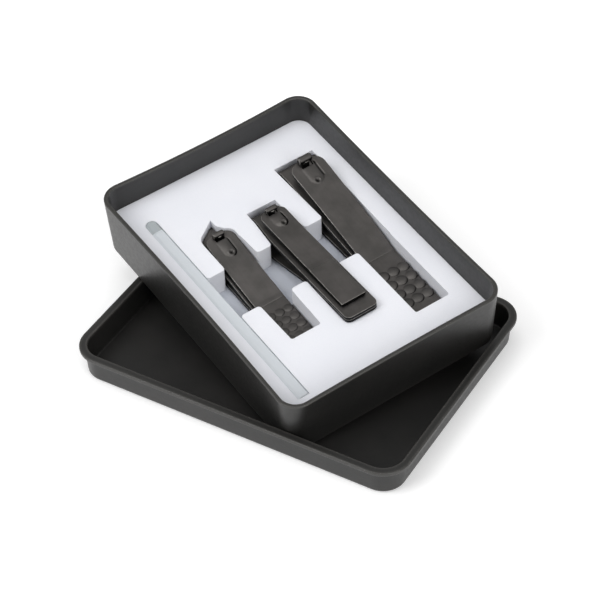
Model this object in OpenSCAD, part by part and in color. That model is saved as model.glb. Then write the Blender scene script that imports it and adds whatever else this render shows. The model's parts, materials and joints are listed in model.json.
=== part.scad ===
// Manicure set case: a deep tray with a foam insert that holds three nail clippers and a glass
// nail file. The open tray leans in its own upturned lid, which stands on the table.
// Millimetres. Origin on the table under the lid's centre, +X along the lid's long side, +Z up.
// The tray has its own frame: origin at the middle of its underside, +X towards the clipper tails.

/* [Tray] */
// Length of the tray over its rim
tray_l = 114; // [108:0.5:140]
// Width of the tray over its rim
tray_w = 83.7; // [82:0.1:102]
// Height of the tray
tray_h = 23; // [20:0.1:28]
// Thickness of the tray's walls
tray_wall = 1.5; // [1.2:0.1:1.9]
// Thickness of the tray's floor
tray_floor = 1.3; // [1:0.1:2]
// How far each side draws in from the rim to the underside
tray_draft = 1.2; // [0.6:0.1:1.6]
// Corner radius of the tray at its rim
tray_corner = 7; // [6:0.1:9]
// Inward bow of the two long rims
bow_sides = 0.57; // [0:0.05:0.6]
// Inward bow of the rim at the clipper heads
bow_head = 0.95; // [0:0.05:1]
// Inward bow of the rim at the clipper tails
bow_tail = 0.25; // [0:0.05:0.6]

/* [Lid] */
// Height of the lid
lid_h = 10.6; // [8.8:0.1:12.8]
// Clearance between the lid and the tray when the case is shut
lid_fit = 0.65; // [0.3:0.05:1]
// Width of the lid's flat rim
lid_rim = 2.75; // [2.4:0.05:3.4]
// Thickness of the lid's rim
lid_rim_t = 1.3; // [1:0.1:1.8]
// Thickness of the lid's walls
lid_wall = 1.15; // [1:0.05:1.4]
// Thickness of the lid's floor
lid_floor = 1.25; // [1:0.05:1.8]
// How far the lid's walls draw in from the rim to the floor
lid_draft = 0.6; // [0.3:0.1:0.9]
// Corner radius of the lid at its rim
lid_corner = 9.8; // [9:0.1:12]

/* [How the tray leans] */
// Turn of the tray against the lid
lean_turn = 25.1; // [18:0.1:32]
// Place of the tray's lowest corner along the lid
lean_corner_x = 19.8; // [14:0.1:26]
// Gap at each of the tray's resting points
rest_gap = 0.1; // [0.05:0.05:0.3]

/* [Foam] */
// Depth of the foam's top below the tray's rim
foam_depth = 10; // [7:0.1:12]
// Thickness of the plain sheet under the cut foam
sheet_t = 1.65; // [1:0.05:3]
// Gap between the foam and what holds it
foam_fit = 0.1; // [0.1:0.05:0.2]
// Gap between a tool and the sides of its pocket
pocket_gap = 0.4; // [0.3:0.05:0.8]
// Corner radius of the pockets
pocket_corner = 0.8; // [0.4:0.1:1.2]
// Head end of the finger recess
recess_head = -11.3; // [-14:0.1:-8]
// Tail end of the finger recess
recess_tail = 8.1; // [5:0.1:12]
// Edge of the finger recess under the glass file
recess_side = -30.6; // [-31:0.1:-29]
// Corner radius of the finger recess
recess_corner = 1.3; // [0.6:0.1:2]

/* [Glass file] */
// Length of the file
file_l = 91; // [76:0.5:96]
// Width of the file
file_w = 4.1; // [3.4:0.1:5]
// Thickness of the file
file_t = 3; // [2:0.1:3.6]
// Width of the bevel along the file's top edges
file_bevel = 1; // [0.4:0.1:1.4]
// Length of the file's clear grip
file_grip = 6.5; // [4:0.5:20]
// Place of the file's middle along the tray
file_x = 1.4; // [-1:0.1:2]
// Place of the file across the tray
file_y = -30; // [-31:0.1:-29]

/* [Small clipper] */
// Length of the small clipper
small_l = 57.8; // [50:0.1:69]
// Width of its tail
small_w = 11; // [10:0.1:11.2]
// Thickness of each leaf
small_t = 1.2; // [1:0.1:1.3]
// Length of its lever
small_lever_l = 50.8; // [46:0.1:52]
// Place of its middle along the tray
small_x = -3.4; // [-5:0.1:2]
// Place of its middle across the tray
small_y = -14.4; // [-15:0.1:-14]

/* [Medium clipper] */
// Length of the medium clipper
medium_l = 58.2; // [50:0.1:69]
// Width of its tail
medium_w = 12.4; // [11:0.1:12.6]
// Thickness of each leaf
medium_t = 1.2; // [1:0.1:1.3]
// Length of its lever
medium_lever_l = 48.1; // [42:0.1:50]
// Place of its middle along the tray
medium_x = 2.3; // [-2:0.1:4]
// Place of its middle across the tray
medium_y = 4.1; // [3.8:0.1:4.6]

/* [Large clipper] */
// Length of the large clipper
large_l = 78.7; // [70:0.1:96]
// Width of its tail
large_w = 13; // [12:0.1:13.2]
// Thickness of each leaf
large_t = 1.4; // [1.2:0.1:1.6]
// Length of its lever
large_lever_l = 71.4; // [60:0.1:76]
// Place of its middle along the tray
large_x = 0.4; // [-3:0.1:3]
// Place of its middle across the tray
large_y = 25.3; // [25:0.1:26]

/* [Hidden] */
$fn = 48;
eps = 0.01;

plastic = [0.25, 0.25, 0.24];
foam = [0.92, 0.92, 0.94];
gunmetal = [0.29, 0.29, 0.27];
glass = [0.78, 0.82, 0.82, 0.6];

// Sizes of the three clippers, by number
SMALL = 0;
MEDIUM = 1;
LARGE = 2;
leaf_l = [small_l, medium_l, large_l];
leaf_w = [small_w, medium_w, large_w];
leaf_t = [small_t, medium_t, large_t];
lever_l = [small_lever_l, medium_lever_l, large_lever_l];
place = [[small_x, small_y], [medium_x, medium_y], [large_x, large_y]];
body_w = [12.2, 12.4, 13.2];        // width of the leaves at the finger recess
body_at = [27, 30, 36];             // from the tail to where the leaves are that wide
jaw_w = [12.2, 10.6, 15];           // width over the jaws
tail_r = [0.8, 2, 0.8];             // corner radius of the tails
rivet_at = [8, 9, 10];              // from the tail to the rivet
joint_l = [12, 12, 12];             // length over which the leaves lie on each other
pin_back = [6.7, 5.8, 6.7];         // from the jaws to the pin
leaf_gap = [4.8, 7, 6.8];           // between the leaves at the pin
gap_power = [1.7, 0, 1.4];          // how the gap opens, 0 for an S-shaped bend
gap_below = [0, 1, 0];              // share of the gap by which the lower leaf bends down
bite = [2, 2, 3];                   // opening between the cutting edges
pitch = [-0.55, 2.5, -0.45];        // nose-down angle at which each one lies
foot_t = [0.45, 0.45, 0.55];        // head of the pin under the lower leaf
foot_r = [2.6, 2.6, 3.2];
pin_r = [1.25, 1.25, 1.6];
hole_gap = 0.45;                    // around the pin in the leaves
rivet_r = [1.1, 1.1, 1.4];
rivet_gap = 0.1;                    // around the rivet in the upper leaf
lever_t = [1.1, 1.1, 1.2];
lever_head_w = [10.8, 9.6, 12.8];
lever_tail_w = [10.6, 9.3, 12];
lever_bend = [0.625, 0.62, 0.615];  // place of the bend along the lever
lever_power = [1, 1, 0.85];         // how the lever curves up from its bend to the pin
over_head = [0.2, 2.2, 3.5];        // from the upper leaf up to the lever at the pin
over_bend = [0.15, 0.95, 0.12];
over_tail = [0.6, 0.35, 0.6];
ear = [1.2, 0.9, 0.9];              // how far the lever reaches past the pin
bar_r = [1, 1, 1.35];               // the bar across the pin's top, on which the lever turns
bar_l = [4.3, 4.4, 5.3];
notch_w = [3.5, 3.6, 4.4];          // of the notch in the lever's head end
bar_gap = 0.12;                     // between the bar and the lever
tongue_l = [6.4, 5.4, 6.9];         // pressed-up tongue behind the pin
tongue_w = [4.4, 4.6, 5.4];
tongue_h = 0.6;
slot_room = [0.4, 0.3, 0.4];        // in the foam's slots at the tails, across
medium_up = 0.1;                    // the medium clipper's tail end above the foam's top
ledge_gap = 0.2;
file_gap = 0.12;
grip_at = [5.2, 0, 7.2];            // from the bend to the first scale, 0 for none
grip_rows = 4;
scale_r = [1.35, 0, 1.65];
scale_step = [[3.8, 3.1], [0, 0], [4.5, 3.65]];

function unit(v) = v / norm(v);
// An outline moved outwards, by shifting each of its points along the mean of its sides' normals
function out_of(p, q) = let (d = unit(q - p)) [d[1], -d[0]];
function grown(pts, g) = let (n = len(pts)) [for (i = [0 : n - 1])
  let (a = out_of(pts[(i + n - 1) % n], pts[i]), b = out_of(pts[i], pts[(i + 1) % n]))
  pts[i] + (a + b) * g / max(0.9, 1 + a * b)];
function arc(cx, cy, r, from, to, n) =
  [for (i = [0 : n]) let (a = from + (to - from) * i / n) [cx + r * cos(a), cy + r * sin(a)]];

// How the tray leans: its underside touches the lid's rim at the left and at the back, and its
// front corner stands on the lid's floor against the front wall. Slopes are the rise of the
// tray's own x and y axes.
half_l = tray_l / 2 - tray_draft;                 // of the tray's underside
half_w = tray_w / 2 - tray_draft;
foot_r0 = tray_corner - tray_draft;               // corner radius of the underside
lid_in_x = tray_l / 2 + lid_fit;                  // inner edges of the lid's rim
lid_in_y = tray_w / 2 + lid_fit;
rest_z = lid_h + rest_gap;
stand_z = lid_floor + rest_gap;
function x_axis(s) = let (c = sqrt(1 - s[0] * s[0])) [c * cos(-lean_turn), c * sin(-lean_turn), s[0]];
function z_axis(s) = unit(cross(x_axis(s), y_guess(s)));
function y_guess(s) = let (x = x_axis(s), h = [-sin(-lean_turn), cos(-lean_turn), 0],
  v = [h[0], h[1], 0] * sqrt(1 - s[1] * s[1]) + [0, 0, s[1]]) unit(v - x * (x * v));
function corner_reach(s) =
  let (n = z_axis(s), climb = (rest_z - stand_z) / n[2])
  climb * abs(n[1]) + foot_r0 + tray_draft * climb / tray_h;
function origin_of(s) =
  let (x = x_axis(s), y = y_guess(s), tilt = norm([s[0], s[1]]))
  [lean_corner_x, -lid_in_y + rest_gap + corner_reach(s), stand_z + foot_r0 * tilt]
  - x * (half_l - foot_r0) + y * (half_w - foot_r0);
function left_touch(s) =
  let (o = origin_of(s), x = x_axis(s), y = y_guess(s)) (-lid_in_x - o[0] + half_w * y[0]) / x[0];
function back_touch(s) =
  let (o = origin_of(s), x = x_axis(s), y = y_guess(s)) (lid_in_y - o[1] - half_w * y[1]) / x[1];
function next_lean(s) =
  let (a = left_touch(s), b = back_touch(s), k = (a - b) / (2 * half_w),
       sx = (stand_z - rest_z) / (half_l - foot_r0 - a + foot_r0 * (k + sqrt(1 + k * k))))
  [sx, k * sx];
function settle(s, n) = n == 0 ? s : settle(next_lean(s), n - 1);
lean = settle([-0.1, 0.08], 8);
lean_x = x_axis(lean);
lean_y = y_guess(lean);
lean_z = z_axis(lean);
lean_o = origin_of(lean);

module in_tray() {
  multmatrix([
    [lean_x[0], lean_y[0], lean_z[0], lean_o[0]],
    [lean_x[1], lean_y[1], lean_z[1], lean_o[1]],
    [lean_x[2], lean_y[2], lean_z[2], lean_o[2]],
    [0, 0, 0, 1]
  ]) children();
}

// One level of a moulded shell: a rounded rectangle whose sides may bow inwards
corner_steps = 7;
side_steps = 6;
function side_bow(bow, t) = 4 * bow * t * (1 - t);
function side(a, b, inward, bow) = bow == 0 ? []
  : [for (i = [1 : side_steps - 1]) let (t = i / side_steps) a + (b - a) * t + inward * side_bow(bow, t)];
function level(hl, hw, r, z, bows = [0, 0, 0]) =
  let (x = hl - r, y = hw - r,
       flat = concat(
         arc(x, -y, r, -90, 0, corner_steps), side([hl, -y], [hl, y], [-1, 0], bows[2]),
         arc(x, y, r, 0, 90, corner_steps), side([x, hw], [-x, hw], [0, -1], bows[1]),
         arc(-x, y, r, 90, 180, corner_steps), side([-hl, y], [-hl, -y], [1, 0], bows[0]),
         arc(-x, -y, r, 180, 270, corner_steps), side([-x, -hw], [x, -hw], [0, 1], bows[1])))
  [for (p = flat) [p[0], p[1], z]];

// A closed skin through levels of equal point count, capped on the first and the last
module loft(levels) {
  n = len(levels[0]);
  points = [for (l = levels) each l];
  sides = [for (k = [0 : len(levels) - 2], i = [0 : n - 1])
    let (j = (i + 1) % n, a = k * n, b = a + n)
    each [[a + i, b + j, a + j], [a + i, b + i, b + j]]];
  first = [[for (i = [0 : n - 1]) i]];
  last = [[for (i = [n - 1 : -1 : 0]) (len(levels) - 1) * n + i]];
  polyhedron(points = points, faces = concat(sides, first, last));
}

// Lid
lip_r = 0.35;                        // rounding of the moulded edges
lid_edge_r = 1.1;                    // rounding of the lid's bottom edge
lid_half_l = lid_in_x + lid_rim;
lid_half_w = lid_in_y + lid_rim;
lid_neck = lid_rim - lid_wall;       // inset of the wall under the rim
function lid_level(inset, z) =
  level(lid_half_l - inset, lid_half_w - inset, lid_corner - inset, z);
module lid_shell() {
  under = lid_h - lid_rim_t;
  outer = lid_neck + lid_draft;
  inner = lid_rim + lid_draft;
  color(plastic) loft(concat(
    [for (a = [0 : 30 : 90]) lid_level(outer + lid_edge_r * (1 - sin(a)), lid_edge_r * (1 - cos(a)))],
    [lid_level(lid_neck, under)],
    [for (a = [0 : 45 : 90]) lid_level(lip_r * (1 - sin(a)), under + lip_r * (1 - cos(a)))],
    [for (a = [0 : 45 : 90]) lid_level(lip_r * (1 - cos(a)), lid_h - lip_r * (1 - sin(a)))],
    [for (a = [0 : 45 : 90]) lid_level(lid_rim - lip_r * (1 - sin(a)), lid_h - lip_r * (1 - cos(a)))],
    [lid_level(inner, lid_floor + lid_edge_r)],
    [for (a = [30 : 30 : 90])
      lid_level(inner + lid_edge_r * (1 - cos(a)), lid_floor + lid_edge_r * (1 - sin(a)))]
  ));
}

// Tray
function tray_bows(z) = [bow_head, bow_sides, bow_tail] * (0.02 + 0.98 * pow(z / tray_h, 2));
function tray_level(inset, z) =
  let (d = inset + tray_draft * (1 - z / tray_h))
  level(tray_l / 2 - d, tray_w / 2 - d, tray_corner - d, z, tray_bows(z));
tray_edge_r = 0.6;
module tray_shell() {
  in_tray() color(plastic) loft(concat(
    [for (a = [0 : 45 : 90]) tray_level(tray_edge_r * (1 - sin(a)), tray_edge_r * (1 - cos(a)))],
    [for (s = [0.3 : 0.3 : 0.9]) tray_level(0, tray_h * s)],
    [for (a = [0 : 45 : 90]) tray_level(lip_r * (1 - cos(a)), tray_h - lip_r * (1 - sin(a)))],
    [for (a = [0 : 45 : 90]) tray_level(tray_wall - lip_r * (1 - sin(a)), tray_h - lip_r * (1 - cos(a)))],
    [for (s = [0.9 : -0.3 : 0.3]) tray_level(tray_wall, tray_h * s)],
    [tray_level(tray_wall, tray_floor)]
  ));
}

// Foam: a plain sheet on the tray's floor, and on it the foam with the pockets cut through
sheet_z = tray_floor + foam_fit;
cut_z = sheet_z + sheet_t + foam_fit;
foam_z = tray_h - foam_depth;
module foam_block(low, high) {
  loft([for (z = [low, (low + high) / 2, high]) tray_level(tray_wall + foam_fit, z)]);
}
module foam_sheet() {
  in_tray() color(foam) foam_block(sheet_z, sheet_z + sheet_t);
}
// A cut with straight walls, from a depth up through the foam's top
module cut(low = cut_z - 1) {
  translate([0, 0, low]) linear_extrude(foam_z + 3 - low) children();
}
module rounded(x0, x1, y0, y1, r) {
  translate([x0 + r, y0]) square([x1 - x0 - 2 * r, y1 - y0]);
  translate([x0, y0 + r]) square([x1 - x0, y1 - y0 - 2 * r]);
  for (x = [x0 + r, x1 - r], y = [y0 + r, y1 - r]) translate([x, y]) circle(r, $fn = 24);
}
tail_x = [for (k = [SMALL : LARGE]) place[k][0] + leaf_l[k] / 2];
head_x = [for (k = [SMALL : LARGE]) place[k][0] - leaf_l[k] / 2];
tail_x_gap = 0.4;
head_room = 0.9;                     // in front of the medium clipper's jaws
// The pocket round a clipper's head follows its outline, and ends in the finger recess
module head_cut(k) {
  cut() intersection() {
    translate([tail_x[k], place[k][1]]) {
      polygon(grown(plan(k), pocket_gap));
      polygon(grown(lever_plan(k), pocket_gap / 2));
    }
    translate([-tray_l / 2, -tray_w / 2]) square([tray_l / 2 + recess_tail - 0.5, tray_w]);
  }
}
module tail_cut(k) {
  w = slot_w(k) / 2;
  cut() {
    rounded(recess_tail - 2 * pocket_corner, tail_x[k] + max(0, tail_end(k)) + tail_x_gap,
            place[k][1] - w, place[k][1] + w, pocket_corner);
    intersection() {
      translate([tail_x[k], place[k][1]]) polygon(grown(plan(k), slot_room[k] / 2));
      translate([recess_tail - 1, -tray_w / 2]) square(tray_w);
    }
  }
}
function slot_w(k) = leaf_w[k] + slot_room[k];
// The medium clipper's tail lies on a ledge that is cut to its shape
module ledge_cut() {
  s_max = tail_x[MEDIUM] - recess_tail + 1;
  low = [for (i = [0 : 12]) let (s = s_max * i / 12) [-s, leaf_under(MEDIUM, false, s) - ledge_gap]];
  in_clipper_lie(MEDIUM) intersection() {
    side_shape(concat([[1, low[0][1]]], low, [[-s_max, 8], [1, 8]]), leaf_w[MEDIUM]);
    translate([0, 0, -10]) linear_extrude(20) polygon(grown(plan(MEDIUM), slot_room[MEDIUM] / 2));
  }
}
module foam_insert() {
  in_tray() color(foam) difference() {
    foam_block(cut_z, foam_z);
    cut() rounded(recess_head, recess_tail, recess_side, place[LARGE][1], recess_corner);
    for (k = [SMALL : LARGE]) head_cut(k);
    cut() translate([head_x[MEDIUM] - head_room, place[MEDIUM][1] - jaw_w[MEDIUM] / 2 - pocket_gap])
      square([4, jaw_w[MEDIUM] + 2 * pocket_gap]);
    tail_cut(SMALL);
    ledge_cut();
    tail_cut(LARGE);
    cut(foam_z - file_t) translate([0, file_y]) file_plan(file_gap);
  }
}

// The file's outline, wider by a gap for its slot in the foam
module file_plan(gap) {
  x0 = file_x - file_l / 2;
  x1 = x0 + file_l + gap;
  w = file_w / 2 + gap;
  polygon(concat(arc(x0 + file_w / 2, 0, w, 90, 270, 16), [[x1, -w], [x1, w]]));
}

// Glass file: a flat bar, bevelled along its top, with a round clear end
module glass_file() {
  x0 = file_x - file_l / 2;
  w = file_w / 2;
  in_tray() color(glass) translate([0, file_y, foam_z - file_t + foam_fit]) intersection() {
    rotate([90, 0, 90]) translate([0, 0, x0]) linear_extrude(file_l)
      polygon([[-w, 0], [w, 0], [w, file_t - file_bevel / 2], [w - file_bevel / 3, file_t],
               [-w + file_bevel, file_t], [-w, file_t - file_bevel / 2]]);
    linear_extrude(file_t) file_plan(0);
  }
}

// Height at which a clipper lies: on the plain sheet, but the medium one on its ledge, and at least
// so high that its pin's foot stays clear of the sheet
function foot_drop(k) =
  (foot_t[k] - leaf_under(k, false, -pin_at(k))) * cos(pitch[k]) + (foot_r[k] - pin_at(k)) * sin(pitch[k]);
function lie_z(k) = let (low = cut_z - foam_fit + rest_gap)
  k == MEDIUM ? max(foam_z + medium_up, low + foot_drop(k)) : low;
// A clipper's own frame: origin under its tail, +X out of the tail, jaws at x = -leaf_l
module in_clipper_lie(k) {
  translate([tail_x[k], place[k][1], lie_z(k)]) rotate([0, -pitch[k], 0]) children();
}
module in_clipper(k) {
  in_tray() in_clipper_lie(k) children();
}
function pin_at(k) = -leaf_l[k] + pin_back[k];
// Gap between the leaves at a distance from the tail, which stays as it is past the pin
function open_at(k, s) =
  let (t = min(1, max(0, (s - joint_l[k]) / (-pin_at(k) - joint_l[k]))))
  leaf_gap[k] * (gap_power[k] == 0 ? t * t * (3 - 2 * t) : pow(t, gap_power[k]));
function leaf_under(k, upper, s) =
  upper ? leaf_t[k] + open_at(k, s) * (1 - gap_below[k]) : -open_at(k, s) * gap_below[k];

// Side of a leaf: its arm, and the jaw that curves in towards the other leaf's
leaf_steps = 14;
jaw_steps = 5;
jaw_run = [1.6, 2.8, 2.8];           // length of the curve
jaw_wall = [1, 0.9, 1.1];            // thickness of the jaw's front
function edge_z(k, upper) =
  (leaf_under(k, true, leaf_l[k]) + leaf_under(k, false, leaf_l[k]) + leaf_t[k]
    + (upper ? bite[k] : -bite[k])) / 2;
function arm_line(k, upper, top) = [for (i = [0 : leaf_steps])
  let (s = (leaf_l[k] - jaw_run[k]) * i / leaf_steps) [-s, leaf_under(k, upper, s) + (top ? leaf_t[k] : 0)]];
function jaw_line(k, upper, top) =
  let (a = arm_line(k, upper, top)[leaf_steps], outer = upper == top,
       run = outer ? jaw_run[k] : jaw_run[k] - jaw_wall[k],
       z = edge_z(k, upper) + (outer ? 0 : (upper ? 0.15 : -0.15)))
  [for (i = [1 : jaw_steps]) let (b = 90 * i / jaw_steps)
    [a[0] - run * sin(b), a[1] + (z - a[1]) * (1 - cos(b))]];
function reversed(v) = [for (i = [len(v) - 1 : -1 : 0]) v[i]];
function leaf_side(k, upper) = concat(
  arm_line(k, upper, false), jaw_line(k, upper, false),
  reversed(jaw_line(k, upper, true)), reversed(arm_line(k, upper, true)));
module side_shape(points, w) {
  rotate([90, 0, 0]) translate([0, 0, -w]) linear_extrude(2 * w) polygon(points);
}

// Outline of the leaves from above, from the tail round to the jaws. The small one's are oblique.
function front(k) = let (l = -leaf_l[k], j = jaw_w[k] / 2, b = body_w[k] / 2)
  k == SMALL ? [[l + 12, j - 0.7], [l + 9, j - 1.3], [l + 6.8, 3.8], [l + 4.6, 2.2], [l + 3, 1.1], [l, 1.3],
                [l + 2.6, -1.9], [l + 4.8, -5.1], [l + 6.2, -j + 0.2], [l + 8, -j]]
  : k == MEDIUM ? [[l + 14, b], [l + 4, j], [l, j], [l, -j], [l + 4, -j], [l + 14, -b]]
  : [[l + 7, j - 0.2], [l, j], [l, -j], [l + 7, -j + 0.2]];
function plan(k) = let (w = leaf_w[k] / 2, r = tail_r[k], b = [-body_at[k], body_w[k] / 2])
  concat(arc(-r, -w + r, r, -90, 0, 6), arc(-r, w - r, r, 0, 90, 6), [b], front(k), [[b[0], -b[1]]]);
jaw_hollow_r = [0, 22, 32];          // radius of the curved cutting edge
jaw_hollow = [0, 0.5, 0.8];          // depth of that curve
module leaf(k, upper) {
  in_clipper(k) color(gunmetal) difference() {
    union() {
      intersection() {
        side_shape(leaf_side(k, upper), jaw_w[k]);
        translate([0, 0, -20]) linear_extrude(50) polygon(plan(k));
      }
      if (k == SMALL) oblique_jaw(upper);
    }
    translate([pin_at(k), 0, -20]) cylinder(r = pin_r[k] + hole_gap, h = 50);
    translate([-rivet_at[k], 0, -20]) cylinder(r = rivet_r[k] + (upper ? rivet_gap : 0), h = 50);
    if (jaw_hollow[k] > 0)
      translate([-leaf_l[k] - jaw_hollow_r[k] + jaw_hollow[k], 0, -20])
        cylinder(r = jaw_hollow_r[k], h = 50, $fn = 96);
  }
}
// The small clipper's cutting edge runs obliquely, so its jaw is a wall along that edge
module oblique_jaw(upper) {
  l = -leaf_l[SMALL];
  far = leaf_under(SMALL, upper, leaf_l[SMALL] - 3) + leaf_t[SMALL] / 2;
  edge = edge_z(SMALL, upper);
  translate([0, 0, min(far, edge)]) linear_extrude(abs(far - edge))
    polygon([[l, 1.3], [l + 2.6, -1.9], [l + 4.8, -5.1], [l + 6, -4.6], [l + 3.9, -1.3], [l + 1.6, 1.1]]);
}
module rivet(k) {
  in_clipper(k) color(gunmetal) translate([-rivet_at[k], 0, 0]) cylinder(r = rivet_r[k], h = 2 * leaf_t[k]);
}

// Lever: a strip with one bend, notched for the pin and with a pressed-up tongue behind it
function head_end(k) = pin_at(k) - ear[k];
function tail_end(k) = head_end(k) + lever_l[k];
function bend_x(k) = head_end(k) + lever_l[k] * lever_bend[k];
function leaf_top(k, x) = leaf_under(k, true, -x) + leaf_t[k];
function head_z(k) = leaf_top(k, pin_at(k)) + over_head[k];
function bend_z(k) = leaf_top(k, bend_x(k)) + over_bend[k];
function tail_z(k) = 2 * leaf_t[k] + over_tail[k];
function head_slope(k) = lever_power[k] * (head_z(k) - bend_z(k)) / (bend_x(k) - pin_at(k));
function lever_under(k, x) =
  x < pin_at(k) ? head_z(k) + head_slope(k) * (pin_at(k) - x)
  : bend_z(k) + (head_z(k) - bend_z(k)) * pow((bend_x(k) - x) / (bend_x(k) - pin_at(k)), lever_power[k]);
// Middle of the bar, which is the axis that the lever turns about
function bar_z(k) = head_z(k) + (lever_t[k] + bar_gap + bar_r[k]) / cos(atan(head_slope(k)));
function lever_plan(k) =
  let (hw = lever_head_w[k] / 2, tw = lever_tail_w[k] / 2, r = hw * 0.6, x = head_end(k) + r)
  concat(arc(x, r - hw, r, 180, 270, 8), [[bend_x(k), -tw], [tail_end(k), -tw], [tail_end(k), tw],
    [bend_x(k), tw]], arc(x, hw - r, r, 90, 180, 8));
ear_cut = 0.5;                       // share of the thickness taken off under the lever's head end
lever_steps = 8;
module lever(k) {
  p = pin_at(k);
  head = head_end(k);
  tail = tail_end(k);
  bend = bend_x(k);
  t = lever_t[k];
  curve = lever_power[k] == 1 ? [] : [for (i = [1 : lever_steps - 1]) p + (bend - p) * i / lever_steps];
  xs = concat([p], curve, [bend]);
  side = concat([[head, lever_under(k, head) + t * ear_cut]], [for (x = xs) [x, lever_under(k, x)]],
    [[tail, tail_z(k)], [tail, tail_z(k) + t]], reversed([for (x = xs) [x, lever_under(k, x) + t]]),
    [[head, lever_under(k, head) + t]]);
  in_clipper(k) color(gunmetal) difference() {
    union() {
      intersection() {
        side_shape(side, lever_head_w[k]);
        translate([0, 0, -5]) linear_extrude(40) polygon(lever_plan(k));
      }
      on_lever(k, p + pin_r[k] + 1.2) tongue(k);
      if (grip_at[k] > 0) grip(k);
    }
    translate([head - 1, -notch_w[k] / 2, -5])
      cube([ear[k] + 1 + pin_r[k] + 2 * bar_gap + lever_t[k] * head_slope(k), notch_w[k], 40]);
  }
}
// A place on the lever's top, with its x axis along the lever
module on_lever(k, x) {
  flat = x >= bend_x(k);
  fall = (bend_z(k) - tail_z(k)) / (tail_end(k) - bend_x(k));
  slope = flat ? fall : lever_power[k] * (head_z(k) - bend_z(k)) / (bend_x(k) - pin_at(k))
    * pow((bend_x(k) - x) / (bend_x(k) - pin_at(k)), lever_power[k] - 1);
  z = flat ? bend_z(k) - fall * (x - bend_x(k)) : lever_under(k, x);
  translate([x, 0, z + lever_t[k]]) rotate([0, atan(slope), 0]) children();
}
// The tongue: a rounded ridge that rises towards its free end
module tongue(k) {
  l = tongue_l[k];
  w = tongue_w[k] / 2;
  intersection() {
    side_shape([[0, -0.5], [l, -0.5], [l, 0.15], [l - 0.8, tongue_h - 0.15], [l - 2, tongue_h], [0, 0.1]], w);
    translate([0, 0, -1]) linear_extrude(5) union() {
      translate([0, -w]) square([l - w, 2 * w]);
      translate([l - w, 0]) circle(w);
    }
  }
}
// Raised scales in rows, which give the thumb a hold
module grip(k) {
  for (i = [0 : grip_rows - 1], j = [-1 : 1])
    on_lever(k, bend_x(k) + grip_at[k] + scale_step[k][0] * i) translate([0, j * scale_step[k][1], -0.3])
      cylinder(r1 = scale_r[k], r2 = scale_r[k] * 0.8, h = 0.5, $fn = 24);
}

// Pin: a foot under the lower leaf, a shaft through both leaves, and a bar across its top
module pin(k) {
  low = leaf_under(k, false, -pin_at(k));
  in_clipper(k) color(gunmetal) translate([pin_at(k), 0, 0]) {
    translate([0, 0, low - foot_t[k] - eps]) cylinder(r = foot_r[k], h = foot_t[k]);
    difference() {
      translate([0, 0, low - foot_t[k]]) cylinder(r = pin_r[k], h = bar_z(k) - low + foot_t[k]);
      if (k == LARGE) bar(k);
    }
    if (k != LARGE) bar(k);
  }
}
module bar(k) {
  taper = bar_r[k] * 0.5;
  l = bar_l[k] / 2 - taper;
  translate([0, 0, bar_z(k)]) for (s = [-1, 1]) rotate([90 * s, 0, 0]) {
    cylinder(r = bar_r[k], h = l);
    translate([0, 0, l]) cylinder(r1 = bar_r[k], r2 = bar_r[k] * 0.7, h = taper);
  }
}
module cross_pin(k) {
  in_clipper(k) color(gunmetal) translate([pin_at(k), 0, 0]) bar(k);
}

lid_shell();
tray_shell();
foam_sheet();
foam_insert();
glass_file();
leaf(SMALL, false);  // small_lower_leaf
leaf(SMALL, true);  // small_upper_leaf
rivet(SMALL);  // small_rivet
pin(SMALL);  // small_pin
lever(SMALL);  // small_lever
leaf(MEDIUM, false);  // medium_lower_leaf
leaf(MEDIUM, true);  // medium_upper_leaf
rivet(MEDIUM);  // medium_rivet
pin(MEDIUM);  // medium_pin
lever(MEDIUM);  // medium_lever
leaf(LARGE, false);  // large_lower_leaf
leaf(LARGE, true);  // large_upper_leaf
rivet(LARGE);  // large_rivet
pin(LARGE);  // large_pin
cross_pin(LARGE);  // large_cross_pin
lever(LARGE);  // large_lever
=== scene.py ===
import json
import math
import bpy
import bmesh
from mathutils import Matrix, Vector


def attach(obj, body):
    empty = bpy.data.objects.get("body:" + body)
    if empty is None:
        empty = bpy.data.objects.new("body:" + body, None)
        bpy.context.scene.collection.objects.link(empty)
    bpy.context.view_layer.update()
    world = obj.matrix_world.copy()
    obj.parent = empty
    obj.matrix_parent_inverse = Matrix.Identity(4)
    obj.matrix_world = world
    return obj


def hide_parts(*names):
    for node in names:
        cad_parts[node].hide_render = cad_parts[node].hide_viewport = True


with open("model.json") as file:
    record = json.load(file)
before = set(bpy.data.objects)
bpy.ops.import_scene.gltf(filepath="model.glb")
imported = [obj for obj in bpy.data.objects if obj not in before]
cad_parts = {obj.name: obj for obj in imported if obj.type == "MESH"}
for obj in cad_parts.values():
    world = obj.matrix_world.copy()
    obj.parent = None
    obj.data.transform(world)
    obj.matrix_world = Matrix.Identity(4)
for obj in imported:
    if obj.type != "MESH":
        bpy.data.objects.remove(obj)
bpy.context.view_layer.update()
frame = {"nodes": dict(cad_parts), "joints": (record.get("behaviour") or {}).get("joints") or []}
nodes = frame["nodes"]
mm = 0.001
print("frame loaded:", len(nodes), "nodes")


def addObject(name, data):
    obj = bpy.data.objects.new(name, data)
    bpy.context.scene.collection.objects.link(obj)
    return obj


# Camera at the photograph's angle: its place in metres, its turns in degrees
cameraSet = {"lens": 132.48, "sensor": 36, "near": 0.02, "far": 20, "place": (0.27751, -0.45174, 0.49690),
             "azimuth": 31.486, "height": 41.785, "roll": -1.892}


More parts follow.
